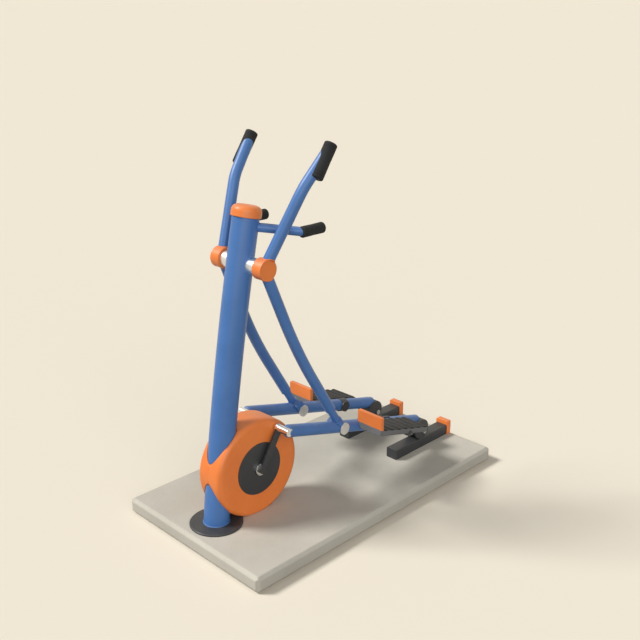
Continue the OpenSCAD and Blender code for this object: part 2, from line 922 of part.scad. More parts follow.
module right_upper_arm() {
    color(blue)
        difference() {
            upper_arm_form(arm_d, arm_end);
            upper_arm_form(arm_d - 2 * arm_wall, arm_end + over * arm_tip_dir);
            translate(pivot) rod_x(0, 2 * arm_x, hub_d + 2 * fit);
        }
}

module right_hub() {
    color(orange)
        difference() {
            translate(pivot) rod_x(hub_in, hub_out, hub_d);
            translate(pivot) rod_x(0, hub_out - hub_end, hub_bearing_d + 2 * fit);
        }
}

// Rubber grip, closed at its top, moulded over the bend of the arm
module right_arm_grip() {
    color(black)
        difference() {
            translate(grip_foot + grip_start * grip_dir)
                rotate([-acos(grip_dir.z), 0, 0])
                    soft_cylinder(grip_d, grip_len, grip_edge);
            upper_arm_form(arm_d + 2 * fit, arm_end);
        }
}

module right_fixed_bar() {
    color(blue)
        difference() {
            bent_rod([fixed_root, fixed_elbow, fixed_end], [fixed_bend], fixed_d);
            bent_rod([fixed_root, fixed_elbow, fixed_end + [0, over, 0]], [fixed_bend], fixed_bore);
            post_form(post_d + 2 * fit);
        }
}

// Rubber grip of the fixed handlebar, moulded over its bend
module right_fixed_grip() {
    color(black)
        difference() {
            translate([fixed_x, -fixed_rear - fixed_grip_len, fixed_grip_h])
                rotate([-90, 0, 0])
                    soft_cylinder(fixed_grip_d, fixed_grip_len, grip_edge);
            bent_rod([fixed_root, fixed_elbow, fixed_end], [fixed_bend], fixed_d + 2 * fit);
        }
}

// Folded rail, open below, with closed ends and two drilled pads inside
module right_rail() {
    color(black)
        difference() {
            translate([rail_x, rail_end, slab_h + rail_h / 2])
                rotate([90, 0, 0])
                    linear_extrude(rail_len) soft_rectangle(rail_w, rail_h, rail_edge);
            difference() {
                translate([rail_x - rail_w / 2 + rail_wall, rail_front + rail_wall, slab_h - over])
                    cube([rail_w - 2 * rail_wall, rail_len - 2 * rail_wall, rail_h - rail_wall + over]);
                for (y = [rail_front + stud_inset, rail_end - stud_inset])
                    translate([rail_x - rail_w / 2, y - stud_pad / 2, slab_h - 2 * over])
                        cube([rail_w, stud_pad, stud_pad_h + 2 * over]);
            }
            at_studs()
                cylinder(h = anchor_depth + stud_rise + fit, d = stud_d + 2 * fit, $fn = fine);
        }
}

module right_rear_stop() {
    color(orange)
        difference() {
            translate([rail_x, rail_end + stop_t, slab_h + stop_h / 2])
                rotate([90, 0, 0])
                    linear_extrude(stop_t) soft_rectangle(stop_w, stop_h, stop_edge);
            at_studs()
                cylinder(h = anchor_depth + stud_rise + fit, d = stud_d + 2 * fit, $fn = fine);
        }
}

// Left side: each piece is the mirror image of the right one
module left() {
    mirror([1, 0, 0]) children();
}

module left_housing() { left() right_housing(); }
module left_side_cover() { left() right_side_cover(); }
module left_crank_hub() { left() right_crank_hub(); }
module left_crank_arm() { left() right_crank_arm(); }
module left_crank_pin() { left() right_crank_pin(); }
module left_foot_bar() { left() right_foot_bar(); }
module left_bar_pin() { left() right_bar_pin(); }
module left_mid_pin() { left() right_mid_pin(); }
module left_roller_fork() { left() right_roller_fork(); }
module left_roller_axle() { left() right_roller_axle(); }
module left_roller() { left() right_roller(); }
module left_cross_bar() { left() right_cross_bar(); }
module left_tray() { left() right_tray(); }
module left_toe_guard() { left() right_toe_guard(); }
module left_guard_bolts() { left() right_guard_bolts(); }
module left_link_rod() { left() right_link_rod(); }
module left_lower_arm() { left() right_lower_arm(); }
module left_upper_arm() { left() right_upper_arm(); }
module left_hub() { left() right_hub(); }
module left_arm_grip() { left() right_arm_grip(); }
module left_fixed_bar() { left() right_fixed_bar(); }
module left_fixed_grip() { left() right_fixed_grip(); }
module left_rail() { left() right_rail(); }
module left_rear_stop() { left() right_rear_stop(); }

concrete_base();
base_flange();
anchor_bolts();
post();
post_cap();
pivot_shaft();
shaft_sleeves();
hub_bearings();
crank_axle();
crank_bearings();
housing_bolts();
rail_anchors();
right_housing();
left_housing();
right_side_cover();
left_side_cover();
right_crank_hub();
left_crank_hub();
right_crank_arm();
left_crank_arm();
right_crank_pin();
left_crank_pin();
right_foot_bar();
left_foot_bar();
right_bar_pin();
left_bar_pin();
right_mid_pin();
left_mid_pin();
right_roller_fork();
left_roller_fork();
right_roller_axle();
left_roller_axle();
right_roller();
left_roller();
right_cross_bar();
left_cross_bar();
right_tray();
left_tray();
right_toe_guard();
left_toe_guard();
right_guard_bolts();
left_guard_bolts();
right_link_rod();
left_link_rod();
right_lower_arm();
left_lower_arm();
right_upper_arm();
left_upper_arm();
right_hub();
left_hub();
right_arm_grip();
left_arm_grip();
right_fixed_bar();
left_fixed_bar();
right_fixed_grip();
left_fixed_grip();
right_rail();
left_rail();
right_rear_stop();
left_rear_stop();
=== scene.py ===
import json
import math

import bmesh
import bpy
from mathutils import Matrix, Vector


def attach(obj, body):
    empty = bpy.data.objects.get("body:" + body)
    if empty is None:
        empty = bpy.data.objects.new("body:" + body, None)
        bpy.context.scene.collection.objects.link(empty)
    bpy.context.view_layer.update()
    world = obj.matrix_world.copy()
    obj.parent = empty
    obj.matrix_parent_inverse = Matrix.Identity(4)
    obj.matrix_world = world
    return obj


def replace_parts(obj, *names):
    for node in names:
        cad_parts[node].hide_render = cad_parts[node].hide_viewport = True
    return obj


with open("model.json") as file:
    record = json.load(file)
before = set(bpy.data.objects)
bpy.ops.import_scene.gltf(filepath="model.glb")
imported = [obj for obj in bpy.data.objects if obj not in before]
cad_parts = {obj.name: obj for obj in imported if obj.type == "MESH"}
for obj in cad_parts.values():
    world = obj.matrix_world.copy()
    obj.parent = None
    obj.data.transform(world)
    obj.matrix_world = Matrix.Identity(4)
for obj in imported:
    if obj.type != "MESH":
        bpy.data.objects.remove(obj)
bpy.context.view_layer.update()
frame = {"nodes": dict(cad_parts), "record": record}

scene = bpy.context.scene
scene.view_settings.view_transform = "Standard"

# ---------------------------------------------------------------- node tools

# sockets of a Mix node that blends colours
MIX_UNDER, MIX_TOP, MIX_COLOUR = 6, 7, 2

# spans of a noise's value, for steer
GENTLE = (0.3, 0.7)
DRIFTING = (0.35, 0.75)
FULL = (0.0, 1.0)
FALLING = (1.0, 0.0)


def maths(tree, kind, a, b):
    """One step of arithmetic on two sockets or numbers."""
    node = tree.nodes.new("ShaderNodeMath")
    node.operation = kind
    for socket, v in zip(node.inputs, (a, b)):
        if isinstance(v, (int, float)):
            socket.default_value = v
        else:
            tree.links.new(v, socket)
    return node.outputs[0]


def over(tree, mask, under, top):
    """Colour top laid over colour under where the mask is 1."""
    node = tree.nodes.new("ShaderNodeMix")
    node.data_type = "RGBA"
    tree.links.new(mask, node.inputs[0])
    for socket, v in ((node.inputs[MIX_UNDER], under), (node.inputs[MIX_TOP], top)):
        if isinstance(v, tuple):
            socket.default_value = v
        else:
            tree.links.new(v, socket)
    return node.outputs[MIX_COLOUR]


def noise(tree, size, detail, rough=0.5, squeeze=(1, 1, 1)):
    """Noise whose blobs are about size metres across, in the piece's own space."""
    place = tree.nodes.new("ShaderNodeTexCoord")
    mapping = tree.nodes.new("ShaderNodeMapping")
    mapping.inputs["Scale"].default_value = squeeze
    cloud = tree.nodes.new("ShaderNodeTexNoise")
    cloud.inputs["Scale"].default_value = 1 / size
    cloud.inputs["Detail"].default_value = detail
    cloud.inputs["Roughness"].default_value = rough
    tree.links.new(place.outputs["Object"], mapping.inputs["Vector"])
    tree.links.new(mapping.outputs["Vector"], cloud.inputs["Vector"])
    return cloud.outputs["Fac"]


def cells(tree, per_metre):
    """Distance from the middle of the nearest of many small cells, in the piece's own space."""
    place = tree.nodes.new("ShaderNodeTexCoord")
    grid = tree.nodes.new("ShaderNodeTexVoronoi")
    grid.inputs["Scale"].default_value = per_metre
    tree.links.new(place.outputs["Object"], grid.inputs["Vector"])
    return grid.outputs["Distance"]


def steer(tree, value, span, to=FULL):
    """Value taken smoothly from one span to another."""
    node = tree.nodes.new("ShaderNodeMapRange")
    node.interpolation_type = "SMOOTHSTEP"
    for socket, v in zip(list(node.inputs)[1:], (*span, *to)):
        socket.default_value = v
    tree.links.new(value, node.inputs[0])
    return node.outputs[0]


# ---------------------------------------------------------------- camera and studio

# The camera's place, way and lens follow from the slab's corners and the paired pieces.
LENS, SENSOR = 50.78, 36
EYE_PLACE = (2.7264, -2.7349, 2.2271)
EYE_WAY = (-0.6647, 0.6670, -0.3364)

# Floor and background as the camera sees them, and the light that each gives back.
CREAM = (0.885, 0.805, 0.665, 1)
BOUNCE = (0.22, 0.20, 0.175, 1)
SKY = (0.24, 0.24, 0.245, 1)

# The floor reaches past the horizon and lies just under the slab.
FLOOR_HALF, FLOOR_Z = 300, -0.0006


def aim(thing, way):
    """Turns a lamp or the camera to look along way, and puts it in the scene."""
    thing.rotation_mode = "QUATERNION"
    thing.rotation_quaternion = Vector(way).to_track_quat("-Z", "Y")
    scene.collection.objects.link(thing)


def lamp(name, strength, softness, way):
    """Distant lamp: softness is its apparent size in degrees, way is how its light travels."""
    made = bpy.data.objects.new(name, bpy.data.lights.new(name, "SUN"))
    made.data.energy = strength
    made.data.angle = math.radians(softness)
    aim(made, way)


def two_tone(tree, lit, shown):
    """Colour shown to rays of the camera, of mirrors and of glass, and lit to all others."""
    path = tree.nodes.new("ShaderNodeLightPath").outputs
    straight = maths(tree, "MAXIMUM", path["Is Camera Ray"], path["Is Glossy Ray"])
    seen = maths(tree, "MAXIMUM", straight, path["Is Transmission Ray"])
    return over(tree, seen, lit, shown)


eye = bpy.data.objects.new("camera", bpy.data.cameras.new("camera"))
eye.data.lens = LENS
eye.data.sensor_width = SENSOR
eye.location = EYE_PLACE
aim(eye, EYE_WAY)
scene.camera = eye

lamp("key_light", 2.65, 17, (0.52, 0.49, -0.70))
lamp("fill_light", 1.63, 60, (-0.74, 0.56, -0.29))

world = bpy.data.worlds.new("studio")
world.use_nodes = True
scene.world = world
backdrop = world.node_tree.nodes["Background"]
world.node_tree.links.new(two_tone(world.node_tree, SKY, CREAM), backdrop.inputs["Color"])

paper = bpy.data.materials.new("studio_paper")
paper.use_nodes = True
skin = paper.node_tree.nodes["Principled BSDF"]
skin.inputs["Roughness"].default_value = 1.0
skin.inputs["Specular IOR Level"].default_value = 0.0
paper.node_tree.links.new(two_tone(paper.node_tree, BOUNCE, CREAM), skin.inputs["Base Color"])

ground = bpy.data.meshes.new("studio_floor")
corners = ((-1, -1), (1, -1), (1, 1), (-1, 1))
ground.from_pydata(
    [(FLOOR_HALF * x, FLOOR_HALF * y, FLOOR_Z) for x, y in corners], [], [(0, 1, 2, 3)])
ground.materials.append(paper)
floor = bpy.data.objects.new("studio_floor", ground)
scene.collection.objects.link(floor)

# ---------------------------------------------------------------- shared effects


def effect(name, inputs, outputs):
    """Empty node group with named sockets. inputs: {name: start value}, outputs: {name: kind}."""
    group = bpy.data.node_groups.new(name, "ShaderNodeTree")
    for label, value in inputs.items():
        socket = group.interface.new_socket(label, in_out="INPUT", socket_type="NodeSocketFloat")
        socket.default_value = value
    for label, kind in outputs.items():
        group.interface.new_socket(label, in_out="OUTPUT", socket_type=kind)
    given = group.nodes.new("NodeGroupInput").outputs
    return group, given, group.nodes.new("NodeGroupOutput").inputs


def make_edge_rounding():
    """Softened normal near sharp edges, and a mask of the places that hands and weather rub."""
    kinds = {"Normal": "NodeSocketVector", "Rubbed": "NodeSocketFloat"}
    group, given, put = effect("edge_rounding", {"Radius": 0.003}, kinds)
    soft = group.nodes.new("ShaderNodeBevel")
    soft.samples = 6
    group.links.new(given["Radius"], soft.inputs["Radius"])
    facing = group.nodes.new("ShaderNodeNewGeometry")
    likeness = group.nodes.new("ShaderNodeVectorMath")
    likeness.operation = "DOT_PRODUCT"
    group.links.new(soft.outputs["Normal"], likeness.inputs[0])
    group.links.new(facing.outputs["Normal"], likeness.inputs[1])
    flat, sharp = 0.99, 0.80
    corner = steer(group, likeness.outputs["Value"], (flat, sharp))
    patches = steer(group, noise(group, 0.03, 4.0, 0.7), (0.46, 0.66))
    group.links.new(soft.outputs["Normal"], put["Normal"])
    group.links.new(maths(group, "MULTIPLY", corner, patches), put["Rubbed"])
    return group


def make_sprayed_skin():
    """Fine orange peel of a powder coat, its slow change of tone, and hairline scuffs."""
    kinds = {label: "NodeSocketFloat" for label in ("Height", "Tone", "Scuffs")}
    group, given, put = effect("sprayed_skin", {"Peel": 1.0}, kinds)
    peel = maths(group, "MULTIPLY", noise(group, 0.0032, 1.0), given["Peel"])
    group.links.new(peel, put["Height"])
    group.links.new(steer(group, noise(group, 0.14, 3.0, 0.6), GENTLE), put["Tone"])
    drawn_out = noise(group, 0.01, 3.0, 0.6, (1.0, 0.12, 1.0))
    group.links.new(steer(group, drawn_out, (0.68, 0.78)), put["Scuffs"])
    return group


def make_settled_dust():
    """Dust in drifts on what faces up."""
    group, given, put = effect("settled_dust", {"Amount": 0.3}, {"Mask": "NodeSocketFloat"})
    facing = group.nodes.new("ShaderNodeNewGeometry")
    split = group.nodes.new("ShaderNodeSeparateXYZ")
    group.links.new(facing.outputs["Normal"], split.inputs[0])
    upward = steer(group, split.outputs["Z"], (0.45, 0.98))
    drifts = steer(group, noise(group, 0.05, 5.0, 0.65), DRIFTING, (0.25, 1.0))
    lying = maths(group, "MULTIPLY", upward, drifts)
    group.links.new(maths(group, "MULTIPLY", lying, given["Amount"]), put["Mask"])
    return group


edge_rounding = make_edge_rounding()
sprayed_skin = make_sprayed_skin()
settled_dust = make_settled_dust()


def use(tree, group, **values):
    """Outputs of a shared effect, placed in a material with its own values."""
    node = tree.nodes.new("ShaderNodeGroup")
    node.node_tree = group
    for label, value in values.items():
        node.inputs[label].default_value = value
    return node.outputs


# ---------------------------------------------------------------- materials

PAINT_DUST = (0.42, 0.38, 0.32, 1)
PLASTIC_DUST = (0.36, 0.33, 0.28, 1)


def new_material(name, **constants):
    material = bpy.data.materials.new(name)
    material.use_nodes = True
    shader = material.node_tree.nodes["Principled BSDF"]
    for label, value in constants.items():
        shader.inputs[label.replace("_", " ")].default_value = value
    return material, material.node_tree, shader


def relief(tree, shader, height, depth, normal):
    """Fine relief, depth metres high, on top of a rounded normal."""
    bump = tree.nodes.new("ShaderNodeBump")
    bump.inputs["Strength"].default_value = 1.0
    bump.inputs["Distance"].default_value = depth
    tree.links.new(height, bump.inputs["Height"])
    tree.links.new(normal, bump.inputs["Normal"])
    tree.links.new(bump.outputs["Normal"], shader.inputs["Normal"])


def powder_coat(name, colour, deep, primer, rough, radius, dust):
    """Powder-coated steel: orange peel, uneven tone, rubbed edges, a little dust on top."""
    primer_shows, dust_dulls, scuff_dulls, peel_depth = 0.45, 0.5, 0.12, 0.00016
    material, tree, shader = new_material(name, Coat_Weight=0.12, Coat_Roughness=0.3)
    coat = use(tree, sprayed_skin, Peel=1.0)
    edge = use(tree, edge_rounding, Radius=radius)
    dusty = use(tree, settled_dust, Amount=dust)
    base = over(tree, coat["Tone"], deep, colour)
    base = over(tree, maths(tree, "MULTIPLY", edge["Rubbed"], primer_shows), base, primer)
    base = over(tree, dusty["Mask"], base, PAINT_DUST)
    tree.links.new(base, shader.inputs["Base Color"])
    matt = maths(tree, "ADD", maths(tree, "MULTIPLY", dusty["Mask"], dust_dulls), rough)
    matt = maths(tree, "ADD", maths(tree, "MULTIPLY", coat["Scuffs"], scuff_dulls), matt)
    tree.links.new(matt, shader.inputs["Roughness"])
    relief(tree, shader, coat["Height"], peel_depth, edge["Normal"])
    return material


def moulded(name, colour, deep, rough, grain, depth, dust=0.15, gloss=0.5):
    """Moulded plastic or rubber with a leathery grain, grain metres wide and depth metres deep."""
    smoother, duller = 0.06, 0.1
    material, tree, shader = new_material(name, Specular_IOR_Level=gloss)
    edge = use(tree, edge_rounding, Radius=0.003)
    dusty = use(tree, settled_dust, Amount=dust)
    grains = steer(tree, cells(tree, 1 / grain), (0.1, 0.7), FALLING)
    base = over(tree, steer(tree, noise(tree, 0.08, 4.0, 0.6), GENTLE), deep, colour)
    base = over(tree, dusty["Mask"], base, PLASTIC_DUST)
    tree.links.new(base, shader.inputs["Base Color"])
    worn = steer(tree, noise(tree, 0.04, 4.0), (0.2, 0.8), (rough - smoother, rough + duller))
    tree.links.new(worn, shader.inputs["Roughness"])
    relief(tree, shader, grains, depth, edge["Normal"])
    return material


def bare_metal(name, colour, smudge, gloss, streaks, depth=0.00002):
    """Turned or plated metal: fine streaks, and finger smudges in a gloss that spans gloss."""
    material, tree, shader = new_material(name, Metallic=1.0)
    edge = use(tree, edge_rounding, Radius=0.0015)
    film = steer(tree, noise(tree, 0.03, 5.0, 0.65), DRIFTING)
    tree.links.new(over(tree, film, colour, smudge), shader.inputs["Base Color"])
    hazy = steer(tree, noise(tree, 0.02, 5.0, 0.7), (0.25, 0.75), gloss)
    tree.links.new(hazy, shader.inputs["Roughness"])
    relief(tree, shader, noise(tree, 0.0012, 2.0, squeeze=streaks), depth, edge["Normal"])
    return material


def cast_concrete():
    """Cast concrete: cement film in clouds, fine sand, a few open pores darkened with painted
    shade, worn pale edges.
    """
    pale, dark = (0.64, 0.602, 0.508, 1), (0.55, 0.515, 0.432, 1)
    # the third colour here is painted shade for the insides of the open pores
    sandy, pore_shade, worn = (0.43, 0.405, 0.345, 1), (0.22, 0.20, 0.17, 1), (0.72, 0.68, 0.58, 1)
    material, tree, shader = new_material("cast_concrete")
    edge = use(tree, edge_rounding, Radius=0.009)
    clouds = steer(tree, noise(tree, 0.35, 6.0, 0.62), GENTLE)
    sand = noise(tree, 0.0022, 3.0, 0.7)
    few = steer(tree, noise(tree, 0.06, 2.0), (0.52, 0.62))
    pit = maths(tree, "MULTIPLY", steer(tree, cells(tree, 55), (0.03, 0.13), FALLING), few)
    base = over(tree, clouds, dark, pale)
    base = over(tree, steer(tree, sand, DRIFTING, (0.0, 0.4)), base, sandy)
    # painted shade: the open pores are darkened towards a near-black colour, standing in for the
    # shade inside them
    base = over(tree, maths(tree, "MULTIPLY", pit, 0.55), base, pore_shade)
    base = over(tree, maths(tree, "MULTIPLY", edge["Rubbed"], 0.5), base, worn)
    tree.links.new(base, shader.inputs["Base Color"])
    tree.links.new(steer(tree, sand, (0.2, 0.8), (0.82, 0.97)), shader.inputs["Roughness"])
    height = maths(tree, "SUBTRACT", maths(tree, "MULTIPLY", sand, 0.5), pit)
    relief(tree, shader, height, 0.0006, edge["Normal"])
    return material


blue_paint = powder_coat(
    "blue_powder_coat", (0.062, 0.185, 0.475, 1), (0.052, 0.165, 0.435, 1), (0.16, 0.30, 0.56, 1),
    rough=0.42, radius=0.003, dust=0.3)
orange_paint = powder_coat(
    "orange_powder_coat", (0.93, 0.245, 0.047, 1), (0.87, 0.215, 0.040, 1), (0.94, 0.42, 0.20, 1),
    rough=0.42, radius=0.005, dust=0.2)
black_paint = powder_coat(
    "black_powder_coat", (0.031, 0.034, 0.039, 1), (0.024, 0.0265, 0.031, 1), (0.10, 0.10, 0.11, 1),
    rough=0.5, radius=0.003, dust=0.06)

tread_black = moulded(
    "black_tread_rubber", (0.022, 0.0225, 0.024, 1), (0.016, 0.0165, 0.018, 1),
    rough=0.62, grain=0.0012, depth=0.00012, dust=0.05, gloss=0.3)
tray_grey = moulded(
    "grey_tray_plastic", (0.150, 0.154, 0.162, 1), (0.122, 0.126, 0.133, 1),
    rough=0.55, grain=0.0009, depth=0.00006, dust=0.1)
grip_black = moulded(
    "black_grip_rubber", (0.026, 0.028, 0.0285, 1), (0.020, 0.0215, 0.022, 1),
    rough=0.68, grain=0.0018, depth=0.00022, dust=0.03, gloss=0.2)
mat_black = moulded(
    "black_tray_mat", (0.036, 0.037, 0.039, 1), (0.027, 0.028, 0.030, 1),
    rough=0.6, grain=0.0012, depth=0.0001, dust=0.03, gloss=0.25)
roller_black = moulded(
    "black_roller_plastic", (0.05, 0.05, 0.052, 1), (0.038, 0.038, 0.04, 1),
    rough=0.5, grain=0.001, depth=0.00005)

chrome = bare_metal(
    "polished_chrome", (0.86, 0.87, 0.88, 1), (0.74, 0.75, 0.76, 1),
    gloss=(0.12, 0.24), streaks=(1.0, 0.05, 0.05), depth=0.000005)
pale_zinc = bare_metal(
    "pale_zinc_sleeve", (0.80, 0.83, 0.85, 1), (0.70, 0.73, 0.75, 1),
    gloss=(0.26, 0.38), streaks=(0.05, 1.0, 1.0))
satin = bare_metal(
    "zinc_plated_pin", (0.70, 0.71, 0.73, 1), (0.58, 0.59, 0.61, 1),
    gloss=(0.34, 0.50), streaks=(1.0, 0.08, 0.08))
steel = bare_metal(
    "machined_steel", (0.50, 0.51, 0.53, 1), (0.40, 0.41, 0.43, 1),
    gloss=(0.30, 0.45), streaks=(1.0, 0.06, 0.06))

FINISHES = {
    "concrete": cast_concrete(),
    "blue_paint": blue_paint,
    "orange_paint": orange_paint,
    "black_paint": black_paint,
    "black_polymer": roller_black,
    "grip_rubber": grip_black,
    "chrome": chrome,
    "steel": steel,
}
# pieces whose finish differs from the rest of their slot
OWN_FINISHES = {"right_mid_pin": satin, "left_mid_pin": satin, "shaft_sleeves": pale_zinc}

for part in frame["record"]["subparts"]:
    slots = frame["nodes"][part["node"]].data.materials
    slots.clear()
    slots.append(OWN_FINISHES.get(part["node"], FINISHES[part["material_slot"]]))

# ---------------------------------------------------------------- mesh tools

# edges that bend more than this stay sharp
SHARP_FROM = math.radians(35)


def shape(name, mesh, material, side):
    """Object from a bmesh. side -1 mirrors it to the left."""
    if side < 0:
        bmesh.ops.scale(mesh, vec=(-1, 1, 1), verts=mesh.verts)
    bmesh.ops.recalc_face_normals(mesh, faces=mesh.faces)
    data = bpy.data.meshes.new(name)
    mesh.to_mesh(data)
    mesh.free()
    data.shade_smooth()
    data.set_sharp_from_angle(angle=SHARP_FROM)
    data.materials.append(material)
    made = bpy.data.objects.new(name, data)
    scene.collection.objects.link(made)
    return made


def piece(name, mesh, body, slot, side=1, material=None):
    """Finished piece that moves with a body, in its slot's finish or one of its own."""
    made = shape(name, mesh, material or FINISHES[slot], side)
    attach(made, body)
    return made


def hands():
    """Each side of the walker, with what its x is multiplied by."""
    return (("right", 1), ("left", -1))


def round_about(centre, u, v, r, count):
    """Row of points round centre, in the plane of u and v."""
    turns = [2 * math.pi * i / count for i in range(count)]
    return [centre + (u * math.cos(t) + v * math.sin(t)) * r for t in turns]


def square_to(axis):
    """Two directions square to the axis and to each other."""
    u = axis.orthogonal().normalized()
    return u, axis.cross(u)


def rings(mesh, loops, closed=False):
    """Skin over rows of points, each row a closed loop. closed joins the last row to the first."""
    rows = [[mesh.verts.new(p) for p in row] for row in loops]
    count = len(rows[0])
    for a, b in list(zip(rows, rows[1:])) + ([(rows[-1], rows[0])] if closed else []):
        for i in range(count):
            mesh.faces.new((a[i], a[(i + 1) % count], b[(i + 1) % count], b[i]))
    if not closed:
        mesh.faces.new(rows[0][::-1])
        mesh.faces.new(rows[-1])
    return mesh


def turned(start, axis, outline, steps=64):
    """Turned piece: outline is a row of (distance along the axis, radius)."""
    axis = Vector(axis).normalized()
    u, v = square_to(axis)
    return rings(bmesh.new(), [
        round_about(Vector(start) + axis * along, u, v, r, steps) for along, r in outline])


def leaning(degrees):
    """Upward direction that leans to the rear, as the post does."""
    return Vector((0, math.sin(math.radians(degrees)), math.cos(math.radians(degrees))))


# ---------------------------------------------------------------- weld beads

# Places and sizes in metres, as in the part's source.
POST_R, FIXED_BAR_R, ARM_R, HUB_R = 0.057, 0.019, 0.024, 0.045
POST_LEAN_FOOT, POST_LEAN_AT_BAR, POST_LEAN_TOP = 6.4, 12, 12.2
POST_FOOT = Vector((0, -0.638, 0.073))
FLANGE_TOP = 0.082
FLANGE_MIDDLE = Vector((0, -0.637, FLANGE_TOP))
BAR_ROOT, BAR_ELBOW = Vector((0, -0.432, 1.360)), Vector((0.174, -0.268, 1.337))
HUB_MID = Vector((0.1305, -0.4453, 1.2068))
KNEE = Vector((0.146, -0.2856, 0.8116))
SHOULDER = Vector((0.207, -0.301, 1.522))

RIM_POINTS = 184
BEAD_SIDES = 8
BEAD_SWELL = 0.13


def weld_bead(points, centre, r, waves):
    """Rippled bead of weld along a closed row of points."""
    count = len(points)
    loops = []
    for i, p in enumerate(points):
        ahead = (points[(i + 1) % count] - points[i - 1]).normalized()
        outward = (p - centre).normalized()
        outward = (outward - ahead * outward.dot(ahead)).normalized()
        swell = r * (1 + BEAD_SWELL * math.sin(waves * 2 * math.pi * i / count))
        loops.append(round_about(p, outward, ahead.cross(outward), swell, BEAD_SIDES))
    return rings(bmesh.new(), loops, closed=True)


def meets_round(start, along, r, centre, axis, radius):
    """Where a tube of radius r first meets a round bar about the axis through centre."""
    along = along.normalized()
    across = along - axis * along.dot(axis)
    found = []
    for p in round_about(start, *square_to(along), r, RIM_POINTS):
        w = (p - centre) - axis * (p - centre).dot(axis)
        a, b, c = across.dot(across), 2 * w.dot(across), w.dot(w) - radius * radius
        found.append(p + along * ((-b - math.sqrt(max(b * b - 4 * a * c, 0))) / (2 * a)))
    return found


def meets_level(start, along, r, height):
    """Where a tube of radius r meets the level plane at that height."""
    rim = round_about(start, *square_to(along), r, RIM_POINTS)
    return [p + along * ((height - p.z) / along.z) for p in rim]


foot_seam = meets_level(POST_FOOT, leaning(POST_LEAN_FOOT), POST_R, FLANGE_TOP)
piece("post_foot_weld", weld_bead(foot_seam, FLANGE_MIDDLE, 0.0026, 70), "frame", "blue_paint")

post_axis = leaning(POST_LEAN_AT_BAR)
bar_seam = meets_round(BAR_ELBOW, BAR_ROOT - BAR_ELBOW, FIXED_BAR_R, BAR_ROOT, post_axis, POST_R)
for hand, side in hands():
    bead = weld_bead(bar_seam, BAR_ROOT, 0.0022, 30)
    piece(hand + "_fixed_bar_weld", bead, "frame", "blue_paint", side)

for part, far_end in (("_lower_arm_weld", KNEE), ("_upper_arm_weld", SHOULDER)):
    hub_seam = meets_round(far_end, HUB_MID - far_end, ARM_R, HUB_MID, Vector((1, 0, 0)), HUB_R)
    for hand, side in hands():
        bead = weld_bead(hub_seam, HUB_MID, 0.0022, 36)
        piece(hand + part, bead, hand + "_arm_body", "orange_paint", side)

# ---------------------------------------------------------------- grips and cap

GRIP_FOOT, GRIP_WAY = Vector((0.236, -0.262, 1.553)), Vector((0, 0.554, 0.8325)).normalized()
GRIP_START = GRIP_FOOT + GRIP_WAY * 0.007
FIXED_GRIP_START = (0.174, -0.281, 1.337)


def grip_outline(length, r, rim):
    """Moulded grip: rounded ends, three shallow rings near each, a slightly waisted middle."""
    tip, waist = 0.0002, 0.0006
    ring_count, ring_start, ring_pitch = 3, 0.003, 0.006
    ring_w, ring_depth, ring_edge = 0.003, 0.0009, 0.0008
    near = [(0.0, tip)]
    for k in range(8):
        a = math.radians(12 * k)
        near.append((rim - rim * math.cos(a), r - rim + rim * math.sin(a)))
    for k in range(ring_count):
        at = rim + ring_start + ring_pitch * k
        near += [(at, r), (at + ring_edge, r - ring_depth),
                 (at + ring_w - ring_edge, r - ring_depth), (at + ring_w, r)]
    far = [(length - along, w) for along, w in reversed(near)]
    return near + [(length / 2, r - waist)] + far


for hand, side in hands():
    grip = turned(GRIP_START, GRIP_WAY, grip_outline(0.155, 0.0275, 0.0078))
    made = piece(hand + "_arm_grip_cover", grip, hand + "_arm_body", "grip_rubber", side)
    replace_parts(made, hand + "_arm_grip")
for hand, side in hands():
    grip = turned(FIXED_GRIP_START, (0, 1, 0), grip_outline(0.122, 0.0235, 0.006))
    made = piece(hand + "_fixed_grip_cover", grip, "frame", "grip_rubber", side)
    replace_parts(made, hand + "_fixed_grip")

# The cap is turned about the post's own axis at its top, and its skirt hangs below that end.
CAP_WAY = leaning(POST_LEAN_TOP)
POST_TOP, CAP_OVERLAP = Vector((0, -0.4188, 1.4116)), 0.016
CAP_R, CAP_SKIRT, CAP_RISE, CAP_DRAW, CAP_FULLNESS = 0.0635, 0.021, 0.0285, 0.0325, 1.15
DOME_STEPS, DOME_STEP = 9, 9

dome = [(0.0, 0.0575), (0.0002, 0.0625), (0.0012, CAP_R), (CAP_SKIRT, CAP_R)]
for k in range(1, DOME_STEPS + 1):
    a = math.radians(DOME_STEP * k)
    drawn = CAP_DRAW * (1 - math.cos(a)) ** CAP_FULLNESS
    dome.append((CAP_SKIRT + CAP_RISE * math.sin(a), CAP_R - drawn))
dome += [(0.0503, 0.022), (0.0511, 0.010), (0.0513, 0.0006)]
cap = turned(POST_TOP - CAP_WAY * CAP_OVERLAP, CAP_WAY, dome, 96)
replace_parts(piece("post_cap_dome", cap, "frame", "orange_paint"), "post_cap")

# ---------------------------------------------------------------- foot trays

# The foot bar's own frame, from its front pin: u outwards, v along the bar, w up.
BAR_TOE, BAR_SLOPE = math.radians(-1.2), math.radians(-15.5)
BAR = (Matrix.Translation((0.134, -0.344113, 0.456829))
       @ Matrix.Rotation(BAR_TOE, 4, "Z") @ Matrix.Rotation(BAR_SLOPE, 4, "X"))
TRAY_IN, TRAY_OUT, TRAY_FRONT, TRAY_BACK, TRAY_TOP = 0.016, 0.161, 0.447, 0.799, 0.026
TRAY_WALL = 0.004
# the tray's inner side hugs the bar at this radius, up to this angle above its middle
HUG_R, HUG_ANGLE, HUG_STEPS = 0.0295, 57.2, 8


def on_bar(u, v, w):
    return BAR @ Vector((u, v, w))


